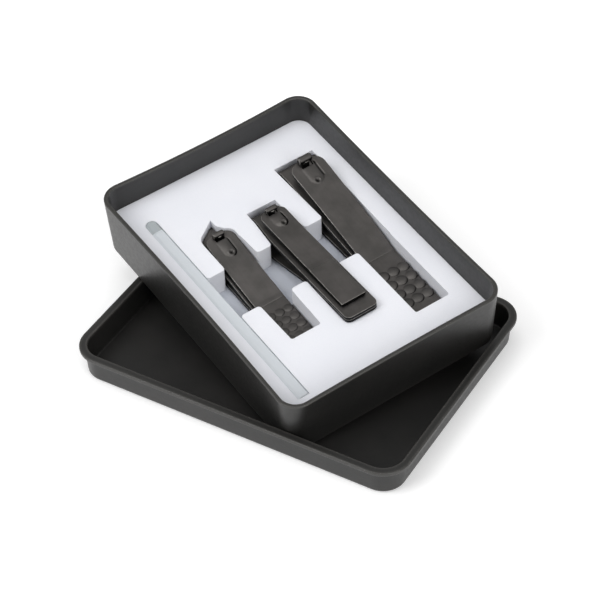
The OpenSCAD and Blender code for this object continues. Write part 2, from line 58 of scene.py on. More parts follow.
def makeCamera(c):
    a, e, r = (math.radians(c[k]) for k in ("azimuth", "height", "roll"))
    right = Vector((math.cos(a), math.sin(a), 0))
    back = Vector((math.sin(a) * math.cos(e), -math.cos(a) * math.cos(e), math.sin(e)))
    up = back.cross(right)
    turnedX = right * math.cos(r) + up * math.sin(r)
    turnedY = up * math.cos(r) - right * math.sin(r)
    data = bpy.data.cameras.new("camera")
    data.lens = c["lens"]
    data.sensor_width = c["sensor"]
    data.clip_start = c["near"]
    data.clip_end = c["far"]
    camera = addObject("camera", data)
    turn = Matrix((turnedX, turnedY, back)).transposed()
    camera.matrix_world = Matrix.Translation(c["place"]) @ turn.to_4x4()
    bpy.context.scene.camera = camera


makeCamera(cameraSet)


# The tray leans in the lid. Its axes are those of the joints, its origin lies under its middle.
def findTrayPlace():
    axis = {j["name"]: Vector(j["axis"]).normalized() for j in frame["joints"]}
    z = axis["file_lift"]
    y = -axis["small_press"]
    y = (y - z * y.dot(z)).normalized()
    x = y.cross(z)
    points = [v.co for v in nodes["tray_shell"].data.vertices]

    def middle(a):
        reach = [p.dot(a) for p in points]
        return (min(reach) + max(reach)) / 2
    low = min(p.dot(z) for p in points)
    origin = x * middle(x) + y * middle(y) + z * low
    return Matrix.Translation(origin) @ Matrix((x, y, z)).transposed().to_4x4()


trayPlace = findTrayPlace()
trayTurn = trayPlace.to_euler("XYZ")
trayUp = trayPlace.to_3x3() @ Vector((0, 0, 1))


# Small helpers for shader nodes; the scales of noise and cells are counts to a metre
class Shader:
    def __init__(self, name):
        self.material = bpy.data.materials.new(name)
        self.material.use_nodes = True
        self.tree = self.material.node_tree
        self.surface = self.tree.nodes["Principled BSDF"]
        self.place = self.add("ShaderNodeTexCoord").outputs["Object"]

    def add(self, kind, **values):
        node = self.tree.nodes.new(kind)
        for key, value in values.items():
            setattr(node, key, value)
        return node

    def link(self, out, into):
        self.tree.links.new(out, into)

    def put(self, value, socket):
        if hasattr(value, "is_output"):
            self.link(value, socket)
        else:
            socket.default_value = value

    def inTray(self):  # Object coordinates turned into the tray's own frame
        mapping = self.add("ShaderNodeMapping", vector_type="TEXTURE")
        mapping.inputs["Location"].default_value = trayPlace.translation
        mapping.inputs["Rotation"].default_value = trayTurn
        self.link(self.place, mapping.inputs["Vector"])
        return mapping.outputs["Vector"]

    def stretched(self, vector, scale):
        mapping = self.add("ShaderNodeMapping")
        mapping.inputs["Scale"].default_value = scale
        self.link(vector, mapping.inputs["Vector"])
        return mapping.outputs["Vector"]

    def noise(self, scale, detail=3, rough=0.5, vector=None):
        node = self.add("ShaderNodeTexNoise")
        node.inputs["Scale"].default_value = scale
        node.inputs["Detail"].default_value = detail
        node.inputs["Roughness"].default_value = rough
        self.link(vector or self.place, node.inputs["Vector"])
        return node.outputs["Fac"]

    def cells(self, scale):
        node = self.add("ShaderNodeTexVoronoi")
        node.inputs["Scale"].default_value = scale
        self.link(self.place, node.inputs["Vector"])
        return node.outputs["Distance"]

    def remap(self, value, low, high, toLow=0.0, toHigh=1.0, smooth=False):
        node = self.add("ShaderNodeMapRange")
        if smooth:
            node.interpolation_type = "SMOOTHSTEP"
        self.link(value, node.inputs["Value"])
        for name, number in (("From Min", low), ("From Max", high), ("To Min", toLow), ("To Max", toHigh)):
            node.inputs[name].default_value = number
        return node.outputs["Result"]

    def maths(self, kind, a, b):
        node = self.add("ShaderNodeMath", operation=kind)
        self.put(a, node.inputs[0])
        self.put(b, node.inputs[1])
        return node.outputs[0]

    def blend(self, share, a, b):
        node = self.add("ShaderNodeMix", data_type="RGBA")
        self.put(share, node.inputs["Factor"])
        for value, socket in ((a, node.inputs["A"]), (b, node.inputs["B"])):
            self.put(value if hasattr(value, "is_output") else (*value, 1), socket)
        return node.outputs["Result"]

    def split(self, vector):
        node = self.add("ShaderNodeSeparateXYZ")
        self.link(vector, node.inputs[0])
        return node.outputs

    def attribute(self, name):
        return self.add("ShaderNodeAttribute", attribute_name=name).outputs["Fac"]

    def bump(self, height, strength, distance):
        node = self.add("ShaderNodeBump")
        node.inputs["Strength"].default_value = strength
        node.inputs["Distance"].default_value = distance
        self.link(height, node.inputs["Height"])
        return node.outputs["Normal"]

    def set(self, **values):
        for name, value in values.items():
            self.put(value, self.surface.inputs[name.replace("_", " ")])


def linear(r, g, b):  # a colour as the eye reads it, 0 to 255
    def one(v):
        v /= 255
        return v / 12.92 if v <= 0.04045 else ((v + 0.055) / 1.055) ** 2.4
    return one(r), one(g), one(b)


casePlastic = {"colour": (34, 33, 32), "shade": (27, 27, 26), "worn": (92, 90, 86), "rough": (0.33, 0.44),
               "patches": 55, "specks": 2600, "speckShare": 0.75, "grain": 2300, "grainShare": 0.6,
               "cells": 1500, "smears": 800, "bump": 0.3, "deep": 0.00002}


def makeCasePlastic(name, c=casePlastic):
    s = Shader(name)
    patch = s.remap(s.noise(c["patches"], 4, 0.55), 0.35, 0.68)
    colour = s.blend(patch, linear(*c["colour"]), linear(*c["shade"]))
    # the moulded edges are paler, with tiny specks
    speck = s.remap(s.noise(c["specks"], 2, 0.6), 0.60, 0.74)
    speck = s.maths("ADD", s.maths("MULTIPLY", speck, c["speckShare"]), 1 - c["speckShare"])
    colour = s.blend(s.maths("MULTIPLY", s.attribute("rim"), speck), colour, linear(*c["worn"]))
    grain = s.maths("MULTIPLY", s.noise(c["grain"], 3, 0.6), c["grainShare"])
    grain = s.maths("ADD", grain, s.cells(c["cells"]))
    rough = s.remap(s.noise(c["smears"], 3, 0.6), 0.3, 0.7, *c["rough"])
    s.set(Base_Color=colour, Roughness=rough, Specular_IOR_Level=0.5,
          Normal=s.bump(grain, c["bump"], c["deep"]))
    return s.material


# Both foams have the same pores, and each has its own colours; the sheet's darker ones are painted shade of
# the recess it shows in
foamSkin = {"rough": (0.81, 0.92), "pores": 2400, "poreShare": 0.55, "patches": 40, "patchShare": 0.35,
            "folds": 700, "foldShare": 0.8, "smears": 900, "glow": 0.3, "glowDeep": 0.002,
            "bump": 0.25, "deep": 0.00003}
cutFoam = {"colour": (230, 231, 236), "pore": (220, 222, 229)}
shadedSheetFoam = {"colour": (205, 209, 218), "pore": (196, 201, 211)}


def makeFoam(name, tint, c=foamSkin):
    s = Shader(name)
    dark = linear(*tint["pore"])
    pores = s.remap(s.cells(c["pores"]), 0.05, 0.42)
    patch = s.remap(s.noise(c["patches"], 3), 0.35, 0.65, 0.0, c["patchShare"])
    share = s.maths("MULTIPLY", s.maths("SUBTRACT", 1.0, pores), c["poreShare"])
    colour = s.blend(patch, s.blend(share, linear(*tint["colour"]), dark), dark)
    folds = s.maths("MULTIPLY", s.noise(c["folds"], 4, 0.6), c["foldShare"])
    rough = s.remap(s.noise(c["smears"], 2), 0.3, 0.7, *c["rough"])
    s.set(Base_Color=colour, Roughness=rough, Specular_IOR_Level=0.25,
          Subsurface_Weight=c["glow"], Subsurface_Scale=c["glowDeep"], Subsurface_Radius=(1, 1, 1),
          Normal=s.bump(s.maths("ADD", pores, folds), c["bump"], c["deep"]))
    return s.material


# "brush" stretches the noise along the clippers, and the reach of the painted shade in the narrow gaps is
# in millimetres; "edge" is the colour of the painted edge highlight and "slit" that of the painted shade
gunmetal = {"colour": (98, 95, 93), "shade": (84, 82, 80), "edge": (168, 165, 160), "slit": (10, 10, 10),
            "side": (27, 27, 28), "rough": (0.42, 0.56), "drift": 0.03, "metallic": 0.92,
            "brush": (60, 900, 300), "patches": 120, "smears": 60, "rubs": 900, "highlightShare": (0.25, 0.75),
            "sideShadeFrom": (0.62, 0.22), "gapShadeReach": 3.0, "gapShadeFrom": (0.68, 0.25), "recessFrom": (0.1, 0.8),
            "bump": 0.10, "deep": 0.000012}


def makeGunmetal(c=gunmetal):
    s = Shader("gunmetalSteel")
    slit = linear(*c["slit"])
    brushed = s.noise(1.0, 4, 0.6, s.stretched(s.inTray(), c["brush"]))
    patch = s.remap(s.noise(c["patches"], 4, 0.55), 0.35, 0.66)
    colour = s.blend(patch, linear(*c["colour"]), linear(*c["shade"]))
    # painted shade: the upright sides are painted darker than the brushed broad faces, as shade under light
    # falling from above
    flank = s.add("ShaderNodeVectorMath", operation="DOT_PRODUCT")
    s.link(s.add("ShaderNodeTexCoord").outputs["Normal"], flank.inputs[0])
    flank.inputs[1].default_value = trayUp
    side = s.remap(s.maths("ABSOLUTE", flank.outputs["Value"], 0.0), *c["sideShadeFrom"], smooth=True)
    colour = s.blend(side, colour, linear(*c["side"]))
    # painted highlight: the rounded edges are painted bright, more in some patches than in others
    edgeHighlight = s.remap(s.noise(c["rubs"], 3, 0.6), 0.3, 0.6, *c["highlightShare"])
    colour = s.blend(s.maths("MULTIPLY", s.attribute("worn"), edgeHighlight), colour, linear(*c["edge"]))
    # painted shade: the narrow gaps between the parts are painted dark
    gapShade = s.add("ShaderNodeAmbientOcclusion", samples=6)
    gapShade.inputs["Distance"].default_value = c["gapShadeReach"] * mm
    colour = s.blend(s.remap(gapShade.outputs["AO"], *c["gapShadeFrom"]), colour, slit)
    # painted shade: the slits, pits and scale flanks marked on the levers are painted dark
    colour = s.blend(s.remap(s.attribute("recess"), *c["recessFrom"]), colour, slit)
    drift = s.remap(s.noise(c["smears"], 2), 0.3, 0.7, -c["drift"], c["drift"])
    rough = s.maths("ADD", s.remap(brushed, 0.3, 0.7, *c["rough"]), drift)
    s.set(Base_Color=colour, Metallic=c["metallic"], Roughness=rough,
          Normal=s.bump(brushed, c["bump"], c["deep"]))
    return s.material


# Each pair holds the value of the clear end and of the etched length, which meet at "clearTo"
fileGlass = {"colours": ((208, 215, 218), (215, 220, 225)), "rough": (0.12, 0.6), "through": (0.45, 0.12),
             "clearTo": -38.4, "fade": 0.8, "grit": (206, 212, 215), "gritShare": 0.2, "grits": 5200,
             "cuts": 3300, "bump": 0.5, "deep": 0.00005, "edge": 0.16}


def makeFileGlass(c=fileGlass):
    s = Shader("etchedGlass")
    along = s.split(s.inTray())[0]
    etched = s.remap(along, (c["clearTo"] - c["fade"]) * mm, (c["clearTo"] + c["fade"]) * mm, smooth=True)
    grit = s.noise(c["grits"], 2, 0.7)
    share = s.maths("MULTIPLY", s.remap(grit, 0.4, 0.7), c["gritShare"])
    colour = s.blend(etched, *(linear(*colour) for colour in c["colours"]))
    colour = s.blend(s.maths("MULTIPLY", share, etched), colour, linear(*c["grit"]))
    cut = s.maths("ADD", grit, s.cells(c["cuts"]))
    s.set(Base_Color=colour, IOR=1.5, Roughness=s.remap(etched, 0, 1, *c["rough"]),
          Transmission_Weight=s.remap(etched, 0, 1, *c["through"]),
          Normal=s.bump(s.maths("MULTIPLY", cut, etched), c["bump"], c["deep"]))
    return s.material


lidPlastic = makeCasePlastic("lidPlastic")
trayPlastic = makeCasePlastic("trayPlastic")
foam = makeFoam("cutFoam", cutFoam)
plainFoam = makeFoam("shadedSheetFoam", shadedSheetFoam)
steel = makeGunmetal()
glass = makeFileGlass()
print("materials made")


def finishPiece(obj, body, slot, *replaced):
    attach(obj, body)
    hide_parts(*replaced)
    return obj


def fromBmesh(name, bm, material, smoothTo=35):
    mesh = bpy.data.meshes.new(name)
    bm.to_mesh(mesh)
    bm.free()
    mesh.materials.append(material)
    mesh.polygons.foreach_set("use_smooth", [True] * len(mesh.polygons))
    if smoothTo:
        mesh.set_sharp_from_angle(angle=math.radians(smoothTo))
    return addObject(name, mesh)


def weighted(obj):  # broad flat faces keep their own normals beside small roundings
    shade = obj.modifiers.new("weighted", "WEIGHTED_NORMAL")
    shade.keep_sharp = True
    shade.weight = 100
    return obj


# One level of a moulded shell: a rounded rectangle whose sides may bow inwards
def levelRing(halfL, halfW, radius, z, bows=(0, 0, 0), cornerSteps=14, sideSteps=10):
    x, y = halfL - radius, halfW - radius
    ring = []

    def corner(cx, cy, start):
        for i in range(cornerSteps + 1):
            a = math.radians(start + 90 * i / cornerSteps)
            ring.append((cx + radius * math.cos(a), cy + radius * math.sin(a), z))

    def side(ax, ay, bx, by, inX, inY, bow):
        for i in range(1, sideSteps):
            t = i / sideSteps
            b = 4 * bow * t * (1 - t)
            ring.append((ax + (bx - ax) * t + inX * b, ay + (by - ay) * t + inY * b, z))
    corner(x, -y, -90)
    side(halfL, -y, halfL, y, -1, 0, bows[2])
    corner(x, y, 0)
    side(x, halfW, -x, halfW, 0, -1, bows[1])
    corner(-x, y, 90)
    side(-halfL, y, -halfL, -y, 1, 0, bows[0])
    corner(-x, -y, 180)
    side(-x, -halfW, x, -halfW, 0, 1, bows[1])
    return ring


# A closed skin through levels; each level is (ring, rim share), and the two ends are capped
def loftShell(name, levels, place, material):
    bm = bmesh.new()
    rim = bm.verts.layers.float.new("rim")
    rings = []
    for ring, share in levels:
        row = []
        for p in ring:
            v = bm.verts.new(place @ (Vector(p) * mm))
            v[rim] = share
            row.append(v)
        rings.append(row)
    n = len(rings[0])
    for a, b in zip(rings, rings[1:]):
        for i in range(n):
            j = (i + 1) % n
            bm.faces.new((a[i], a[j], b[j], b[i]))
    bm.faces.new(list(reversed(rings[0])))
    bm.faces.new(rings[-1])
    bmesh.ops.recalc_face_normals(bm, faces=bm.faces)
    return weighted(fromBmesh(name, bm, material))


# A quarter round as pairs: one leg shrinks from the radius to nothing while the other grows
def rounding(radius, steps, start=0):
    turns = [math.radians(start + (90 - start) * i / steps) for i in range(steps + 1)]
    return [(radius * (1 - math.sin(a)), radius * (1 - math.cos(a))) for a in turns]


# The shallow lid lies upside down: a floor, sloping walls and a thick flat rim.
# "wear" says how much of the pale specks each edge shows.
lid = {"halfL": 60.4, "halfW": 45.25, "high": 10.6, "rim": 2.75, "rimThick": 1.3, "wall": 1.15,
       "floor": 1.25, "draft": 0.6, "corner": 9.8, "lip": 0.35, "edge": 1.1, "foot": 0.5,
       "neckOut": 0.12, "neckDown": 0.3, "neckIn": 0.05, "wallIn": 0.06, "wallDown": 1.2,
       "rimRows": (0.35, 0.65), "floorRow": 2, "wear": {"edge": 0.3, "under": 0.9, "lip": 1.0, "flat": 0.1}}


def makeLid(c):
    def ring(inset, z):
        return levelRing(c["halfL"] - inset, c["halfW"] - inset, c["corner"] - inset, z)
    high, rim, floor, foot, edge, wear = (c[k] for k in ("high", "rim", "floor", "foot", "edge", "wear"))
    under = high - c["rimThick"]
    neck = rim - c["wall"]
    outer, inner = neck + c["draft"], rim + c["draft"]
    lip = rounding(c["lip"], 4)
    levels = [(ring(outer + shrink, grow), wear["edge"]) for shrink, grow in rounding(edge, 5)]
    levels.append((ring((outer + neck) / 2, (under + edge) / 2), 0))
    levels.append((ring(neck + c["neckOut"], under - c["neckDown"]), 0))
    levels.append((ring(neck - c["neckIn"], under), 0))
    levels += [(ring(shrink, under + grow), wear["under"]) for shrink, grow in lip]
    levels += [(ring(grow, high - shrink), wear["lip"]) for shrink, grow in lip]
    levels += [(ring(rim * share, high), wear["flat"]) for share in c["rimRows"]]
    levels += [(ring(rim - shrink, high - grow), wear["lip"]) for shrink, grow in lip]
    levels.append((ring(rim + c["wallIn"], high - c["wallDown"]), 0))
    levels.append((ring(inner, floor + foot), 0))
    levels += [(ring(inner + grow, floor + shrink), 0) for shrink, grow in rounding(foot, 5, 15)]
    levels.append((ring(inner + foot + c["floorRow"], floor), 0))
    return loftShell("lidShell", levels, Matrix.Identity(4), lidPlastic)


finishPiece(makeLid(lid), "lid", "plastic", "lid_shell")

# The deep tray: walls that draw in downwards and bow a little, with a rounded rim
tray = {"long": 114, "wide": 83.7, "high": 23, "wall": 1.5, "floor": 1.3, "draft": 1.2, "corner": 7,
        "bows": (0.95, 0.57, 0.25), "floorBow": 0.02, "lip": 0.35, "lipDown": 0.9, "edge": 0.6,
        "rows": 10, "floorRow": 2, "wear": {"edge": 0.3, "lip": 1.0, "flat": 0.35}}


def trayRing(inset, z, c=tray):
    d = inset + c["draft"] * (1 - z / c["high"])
    bows = [b * (c["floorBow"] + (1 - c["floorBow"]) * (z / c["high"]) ** 2) for b in c["bows"]]
    return levelRing(c["long"] / 2 - d, c["wide"] / 2 - d, c["corner"] - d, z, bows)


def makeTray(c):
    high, wall, floor, wear = (c[k] for k in ("high", "wall", "floor", "wear"))
    lip = rounding(c["lip"], 4)
    heights = [high * i / c["rows"] for i in range(1, c["rows"])] + [high - c["lipDown"]]
    levels = [(trayRing(shrink, grow), wear["edge"]) for shrink, grow in rounding(c["edge"], 4)]
    levels += [(trayRing(0, z), 0) for z in heights]
    levels += [(trayRing(grow, high - shrink), wear["lip"]) for shrink, grow in lip]
    levels.append((trayRing(wall / 2, high), wear["flat"]))
    levels += [(trayRing(wall - shrink, high - grow), wear["lip"]) for shrink, grow in lip]
    levels += [(trayRing(wall, z), 0) for z in reversed(heights)]
    levels.append((trayRing(wall, floor), 0))
    levels.append((trayRing(wall + c["floorRow"], floor), 0))
    return loftShell("trayShell", levels, trayPlace, trayPlastic)


finishPiece(makeTray(tray), "tray", "plastic", "tray_shell")
print("case made")


# The broad cut faces are shaded apart from the small roundings beside them
def creaseBroadFaces(bm, broadFrom, beside=1.5, others=35):
    broad = {f for f in bm.faces if f.calc_area() > broadFrom}
    for e in bm.edges:
        if len(e.link_faces) == 2:
            a, b = e.link_faces
            limit = others if (a in broad) == (b in broad) else beside
            e.smooth = e.calc_face_angle(0) < math.radians(limit)


def mergedCopy(node, merge=0.002, flat=0.6):  # a CAD piece with its facets joined where they are flat
    bm = bmesh.new()
    bm.from_mesh(nodes[node].data)
    bmesh.ops.remove_doubles(bm, verts=bm.verts, dist=merge * mm)
    bmesh.ops.dissolve_limit(bm, angle_limit=math.radians(flat), verts=bm.verts, edges=bm.edges)
    return bm


def roundEdges(bm, edges, width, segments, clamp=True):
    made = bmesh.ops.bevel(bm, geom=edges, offset=width * mm, segments=segments, profile=0.5,
                           affect="EDGES", clamp_overlap=clamp)
    return made["faces"]


# Foam: the thick insert has soft cut edges, and its free corners are rounded further.
# Only edges that turn by the given degrees are rounded, and "along" is how nearly a corner's edge or a top
# face's normal points up the tray.
insert = {"cornerRound": 1.15, "cornerTurn": 55, "cornerLong": 1.5, "edgeRound": 0.4, "edgeTurn": 50,
          "along": 0.98, "broadFrom": 2.0e-6}


def makeFoamInsert(c):
    bm = mergedCopy("foam_insert")
    upright = []
    for e in bm.edges:
        if len(e.link_faces) != 2:
            continue
        d = e.verts[1].co - e.verts[0].co
        if d.length < c["cornerLong"] * mm or abs(d.normalized().dot(trayUp)) < c["along"]:
            continue
        if e.is_convex and e.calc_face_angle(0) > math.radians(c["cornerTurn"]):
            upright.append(e)
    for e in upright:  # one by one, so that a short neighbour holds back its own corner alone
        if e.is_valid:
            roundEdges(bm, [e], c["cornerRound"], 5)
    rims = []
    for e in bm.edges:
        if len(e.link_faces) != 2 or not e.is_convex:
            continue
        tops = [f for f in e.link_faces if f.normal.dot(trayUp) > c["along"]]
        if len(tops) == 1 and e.calc_face_angle(0) > math.radians(c["edgeTurn"]):
            rims.append(e)
    roundEdges(bm, rims, c["edgeRound"], 3)
    bm.normal_update()
    creaseBroadFaces(bm, c["broadFrom"])
    return fromBmesh("foamInsert", bm, foam, 0)


foamInsert = finishPiece(makeFoamInsert(insert), "tray", "foam", "foam_insert")

# The plain sheet lies on the tray's floor and shows in the recess; its heights are the tray's own
sheet = {"low": 1.4, "high": 3.05, "inset": 1.6, "edge": 0.3, "topRow": 1.5}


def makeFoamSheet(c):
    inset, edge, low, high = c["inset"], c["edge"], c["low"], c["high"]
    turns = rounding(edge, 3)
    levels = [(trayRing(inset + shrink, low + grow), 0) for shrink, grow in turns]
    levels += [(trayRing(inset + shrink, high - grow), 0) for shrink, grow in reversed(turns)]
    levels.append((trayRing(inset + edge + c["topRow"], high), 0))
    return loftShell("foamSheet", levels, trayPlace, plainFoam)


foamSheet = finishPiece(makeFoamSheet(sheet), "tray", "foam", "foam_sheet")
print("foam made")


# Rounds edges a little and marks the new faces, on which the steel paints a highlight
def softenEdges(bm, edges, width, segments=2):
    worn = bm.faces.layers.float.new("worn")
    for f in roundEdges(bm, edges, width, segments, clamp=False):
        f[worn] = 1


def softCopy(name, node, material, width, segments=2, merge=0.002, sharpFrom=40):
    bm = mergedCopy(node, merge)
    joined = [e for e in bm.edges if len(e.link_faces) == 2 and e.is_convex]
    softenEdges(bm, [e for e in joined if e.calc_face_angle(0) > math.radians(sharpFrom)], width, segments)
    return weighted(fromBmesh(name, bm, material))


nailFile = softCopy("glassFile", "glass_file", glass, fileGlass["edge"])
finishPiece(nailFile, "file", "glass", "glass_file")
print("file made")

# Steel parts whose CAD shape is right, with softened edges: the body's ending, the rounding, its steps
softened = {"lower_leaf": ("", 0.12, 2), "rivet": ("", 0.12, 2), "pin": ("", 0.2, 3),
            "upper_leaf": ("_upper", 0.12, 2)}
leafMerge = 0.03
crossPin = {"edge": 0.3, "steps": 3}
clippers = ("small", "medium", "large")
for size in clippers:
    for part, (ending, width, segments) in softened.items():
        node = size + "_" + part
        words = node.split("_")
        name = words[0] + "".join(w.capitalize() for w in words[1:])
        finishPiece(softCopy(name, node, steel, width, segments, leafMerge), size + ending, "steel", node)
crossCopy = softCopy("largeCrossPin", "large_cross_pin", steel, crossPin["edge"], crossPin["steps"])
finishPiece(crossCopy, "large", "steel", "large_cross_pin")
print("leaves and pins made")

# Levers: a strip with one bend, notched for the pin, with a pressed-up tongue behind the notch.
# Lengths are in millimetres in the clipper's own frame: origin under its tail, jaws towards -x.
levers = {
    "small": {"tail": (25.5, -14.4, 3.15), "pitch": -0.55, "pin": -51.1, "ear": 1.2, "long": 50.8,
              "bend": 0.625, "headZ": 7.4, "bendZ": 2.9125, "tailZ": 3.0, "power": 1.0, "thick": 1.1,
              "headW": 10.8, "tailW": 10.6, "notchW": 3.5, "pinR": 1.25,
              "tongue": {"start": 2.45, "long": 6.4, "wide": 4.4, "high": 0.5, "edge": 2.2, "straight": 0,
                         "dimple": (5.1, 0.3)},
              "scales": {"first": 5.2, "stepX": 3.8, "stepY": 3.4, "radius": 1.6, "high": 0.34,
                         "dark": 0.45}},
    "medium": {"tail": (31.4, 4.1, 13.1), "pitch": 2.5, "pin": -52.4, "ear": 0.9, "long": 48.1,
               "bend": 0.62, "headZ": 4.6, "bendZ": 3.35, "tailZ": 2.75, "power": 1.0, "thick": 1.1,
               "headW": 9.6, "tailW": 9.3, "notchW": 3.6, "pinR": 1.25,
               "tongue": {"start": 2.45, "long": 5.4, "wide": 4.6, "high": 0.5, "edge": 2.2, "straight": 0,
                          "dimple": (4.2, 0.5)},
               "scales": None},
    "large": {"tail": (39.75, 25.3, 3.15), "pitch": -0.45, "pin": -72.0, "ear": 0.9, "long": 71.4,
              "bend": 0.615, "headZ": 13.1, "bendZ": 4.0823, "tailZ": 3.4, "power": 0.85, "thick": 1.2,
              "headW": 12.8, "tailW": 12.0, "notchW": 4.4, "pinR": 1.6,
              "tongue": {"start": 2.8, "long": 6.9, "wide": 5.4, "high": 0.3, "edge": 5, "straight": 1,
                         "dimple": (5.6, -0.4)},
              "scales": {"first": 7.7, "stepX": 4.5, "stepY": 4.0, "radius": 2.0, "high": 0.6,
                         "dark": 0.95}},
}

# What all levers share. "root" and "rise" shape the tongue's slope, each slit fades in and out along the
# tongue as (place, length), and the dimple has a raised edge around its pit.
pressed = {"earThin": 0.5, "headRound": 0.6, "notchGap": 0.24, "softEdge": 0.11, "smoothTo": 55,
           "root": 1.5, "rootHigh": 0.35, "rise": 0.7, "slitDeep": 0.5, "slitWide": 0.2,
           "straightOff": 0.2, "straightIn": (-2.2, 0.6), "straightOut": (4.9, 0.5),
           "roundOff": 0.05, "roundIn": (-1.0, 0.8), "roundSide": 0.5,
           "pitDeep": 0.5, "pitWide": 0.62, "pitShare": 0.8, "pitEdge": (0.13, 1.05, 0.28),
           "ridge": 0.16, "ridgeLong": 2.2}


def smooth(t):  # 0 to 1 with soft ends
    t = min(1.0, max(0.0, t))
    return t * t * (3 - 2 * t)


def swell(distance, wide):  # 1 at no distance, and soon 0
    return math.exp(-(distance / wide) ** 2)


class LeverShape:
    def __init__(self, c):
        self.c = c
        self.head = c["pin"] - c["ear"]
        self.tail = self.head + c["long"]
        self.bend = self.head + c["long"] * c["bend"]
        self.round = c["headW"] / 2 * pressed["headRound"]
        self.rise = c["headZ"] - c["bendZ"]
        self.slope = c["power"] * self.rise / (self.bend - c["pin"])
        self.notchEnd = c["pin"] + c["pinR"] + pressed["notchGap"] + c["thick"] * self.slope
        self.place = (trayPlace @ Matrix.Translation(Vector(c["tail"]) * mm)
                      @ Matrix.Rotation(math.radians(-c["pitch"]), 4, "Y"))

    def under(self, x):  # height of the underside
        c = self.c
        if x >= self.bend:
            return c["bendZ"] + (c["tailZ"] - c["bendZ"]) * (x - self.bend) / (self.tail - self.bend)
        if x >= c["pin"]:
            return c["bendZ"] + self.rise * ((self.bend - x) / (self.bend - c["pin"])) ** c["power"]
        return c["headZ"] + self.slope * (c["pin"] - x)

    def low(self, x):  # the underside as it is made: the ear is thinner than the rest
        c = self.c
        if x >= c["pin"]:
            return self.under(x)
        return self.under(x) + c["thick"] * pressed["earThin"] * (c["pin"] - x) / c["ear"]

    def half(self, x):  # half the width
        w, tail = self.c["headW"] / 2, self.c["tailW"] / 2
        r = self.round
        if x < self.head + r:
            return w - r + math.sqrt(max(0.0, r * r - (self.head + r - x) ** 2))
        if x < self.bend:
            return w + (tail - w) * (x - self.head - r) / (self.bend - self.head - r)
        return tail

    # u lies along the tongue and y across it, d is the distance from its middle line, w its half width
    def slit(self, u, y, d, w):
        p = pressed
        if self.c["tongue"]["straight"]:
            (start, startLong), (end, endLong) = p["straightIn"], p["straightOut"]
            fade = smooth((u - start) / startLong) * smooth((end - u) / endLong)
            return swell(y - w - p["straightOff"], p["slitWide"]) * fade
        start, startLong = p["roundIn"]
        fade = smooth(y / w / p["roundSide"]) * smooth((u - start) / startLong)
        return swell(d - w - p["roundOff"], p["slitWide"]) * fade

    # the second value is the share of painted shade, which darkens the slit and the pit
    def relief(self, x, y):  # height and depth share of the tongue, the slit beside it and its dimple
        p = pressed
        t = self.c["tongue"]
        u = x - self.c["pin"] - t["start"]
        w = t["wide"] / 2
        d = math.hypot(max(-u, u - (t["long"] - w), 0.0), y)
        h = 0.0
        if d < w and u > -p["root"]:
            rise = smooth((u + p["root"]) / (p["rise"] * t["long"]))
            h = t["high"] * (1 - (d / w) ** t["edge"]) * (p["rootHigh"] + (1 - p["rootHigh"]) * rise)
        slit = self.slit(u, y, d, w)
        away = math.hypot(u - t["dimple"][0], y - t["dimple"][1])
        pit = swell(away, p["pitWide"])
        edgeHigh, edgeAt, edgeWide = p["pitEdge"]
        h += edgeHigh * swell(away - edgeAt, edgeWide) - p["slitDeep"] * slit - p["pitDeep"] * pit
        if x <= self.bend:  # a low ridge runs up to the crease
            h += p["ridge"] * smooth((x - self.bend + p["ridgeLong"]) / p["ridgeLong"])
        return h, max(slit, p["pitShare"] * pit)


# The strip's columns and rows: fine over the head and its tongue, wider apart over the plain length
grid = {"head": 14, "fine": 0.17, "plain": 0.9, "bend": 0.3, "crease": 0.1, "pastTongue": 1.2,
        "bendLong": 2.4, "inner": 20, "outer": 15}


def leverColumns(m, g=grid):
    quarter = [math.radians(90 * i / g["head"]) for i in range(g["head"] + 1)]
    xs = [m.head + m.round * (1 - math.cos(a)) for a in quarter]
    fineTo = m.c["pin"] + m.c["tongue"]["start"] + m.c["tongue"]["long"] + g["pastTongue"]
    parts = ((fineTo, "fine"), (m.bend - g["bendLong"], "plain"), (m.bend, "bend"),
             (m.bend + g["crease"], "crease"), (m.tail, "plain"))
    for end, step in parts:
        start = xs[-1]
        n = max(1, round((end - start) / g[step]))
        xs += [start + (end - start) * i / n for i in range(1, n + 1)]
    near = min(range(len(xs)), key=lambda i: abs(xs[i] - m.notchEnd))
    xs[near] = m.notchEnd
    return xs


def leverRows(m, x, g=grid):
    inner, outer = g["inner"], g["outer"]
    side = m.c["notchW"] / 2
    half = m.half(x)
    ys = [side + (half - side) * i / outer for i in range(1, outer + 1)]
    middle = [-side + 2 * side * i / inner for i in range(inner + 1)]
    return [-y for y in reversed(ys)] + middle + ys, outer, outer + inner


# Thumb grip: rows of low scales. Each is a dome whose crown leans towards one corner, and its steep flank
# on that side is painted dark as shade, as the slits are.
grip = {"rowsAlong": 4, "rowsAcross": 3, "segments": 20, "rings": 10, "flankX": 0.38, "flankY": 0.92,
        "flankFrom": 0.22, "flankGain": 3.6, "footShare": 1.5, "crownFall": 1.6, "leastDark": 0.2,
        "lean": 0.45, "leanX": 0.4}


